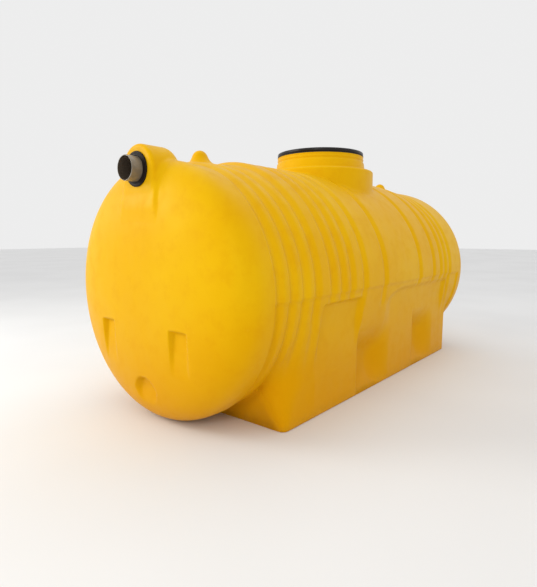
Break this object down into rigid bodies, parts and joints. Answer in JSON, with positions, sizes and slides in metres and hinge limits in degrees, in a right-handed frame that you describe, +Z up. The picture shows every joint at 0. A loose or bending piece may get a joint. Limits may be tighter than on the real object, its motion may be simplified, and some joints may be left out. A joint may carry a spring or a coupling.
{
  "type": "septic tank",
  "caption": "Horizontal moulded plastic septic tank with a ribbed barrel, domed ends, flat base, manhole neck with a lid, and a sealed pipe stub at each end.",
  "frame": {"origin": "on the floor, under the middle of the barrel", "axes": "+X along the tank from the inlet to the outlet, +Z up; the inlet end is at -X"},
  "size_m": [2.816, 1.236, 1.425],
  "materials": {
    "shell_plastic": "rotomoulded polyethylene, yellow, fine orange peel with a soft sheen",
    "lid_plastic": "black moulded polyethylene",
    "gasket_rubber": "black rubber",
    "seal_rubber": "black moulded rubber",
    "pipe_plastic": "grey-brown drain pipe, satin"
  },
  "bodies": {
    "root": {"inlet_end": "shell_plastic", "outlet_end": "shell_plastic", "inlet_bay_crown": "shell_plastic", "front_bay_crown": "shell_plastic", "manhole_bay_crown": "shell_plastic", "rear_bay_crown": "shell_plastic", "inlet_bay_belly": "shell_plastic", "front_bay_belly": "shell_plastic", "manhole_bay_belly": "shell_plastic", "rear_bay_belly": "shell_plastic", "base_floor": "shell_plastic", "base_front_wall": "shell_plastic", "base_rear_wall": "shell_plastic", "inlet_flank_left": "shell_plastic", "inlet_flank_right": "shell_plastic", "pad_a_left": "shell_plastic", "pad_a_right": "shell_plastic", "pocket_ab_left": "shell_plastic", "pocket_ab_right": "shell_plastic", "pad_b_left": "shell_plastic", "pad_b_right": "shell_plastic", "pocket_bc_left": "shell_plastic", "pocket_bc_right": "shell_plastic", "pad_c_left": "shell_plastic", "pad_c_right": "shell_plastic", "neck_collar": "shell_plastic", "neck": "shell_plastic", "lid_gasket": "gasket_rubber", "manhole_lid": "lid_plastic", "inlet_hood": "shell_plastic", "inlet_seal": "seal_rubber", "inlet_pipe": "pipe_plastic", "outlet_hood": "shell_plastic", "outlet_seal": "seal_rubber", "outlet_pipe": "pipe_plastic", "lifting_lug_inlet": "shell_plastic", "lifting_lug_outlet": "shell_plastic"}
  },
  "joints": []
}
